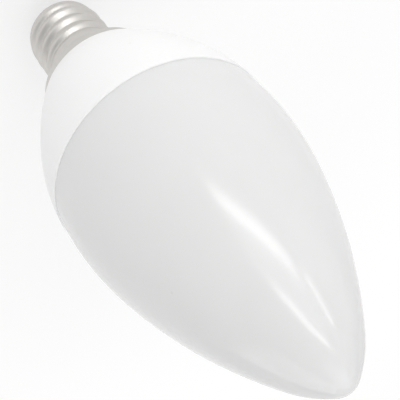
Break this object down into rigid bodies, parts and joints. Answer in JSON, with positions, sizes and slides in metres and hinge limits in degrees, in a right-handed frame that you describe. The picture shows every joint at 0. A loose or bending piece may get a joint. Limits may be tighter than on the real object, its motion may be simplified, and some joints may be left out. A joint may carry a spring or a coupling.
{
  "type": "led candle lamp",
  "caption": "Candle-shaped LED lamp: milky pointed diffuser on a smooth white bowl-shaped housing, with a small metal Edison screw cap and centre contact.",
  "frame": {"origin": "centre of the flat end of the centre contact, on the lamp's axis", "axes": "+Z along the lamp's axis from the screw cap to the diffuser's tip"},
  "size_m": [0.0374, 0.0374, 0.096],
  "materials": {
    "milky_plastic": "milky satin polycarbonate",
    "white_plastic": "smooth white moulded plastic",
    "plated_metal": "nickel-plated, lightly brushed",
    "dark_plastic": "moulded thermoset"
  },
  "bodies": {
    "root": {"diffuser": "milky_plastic", "housing": "white_plastic", "screw_shell": "plated_metal", "insulator": "dark_plastic", "centre_contact": "plated_metal"}
  },
  "joints": []
}
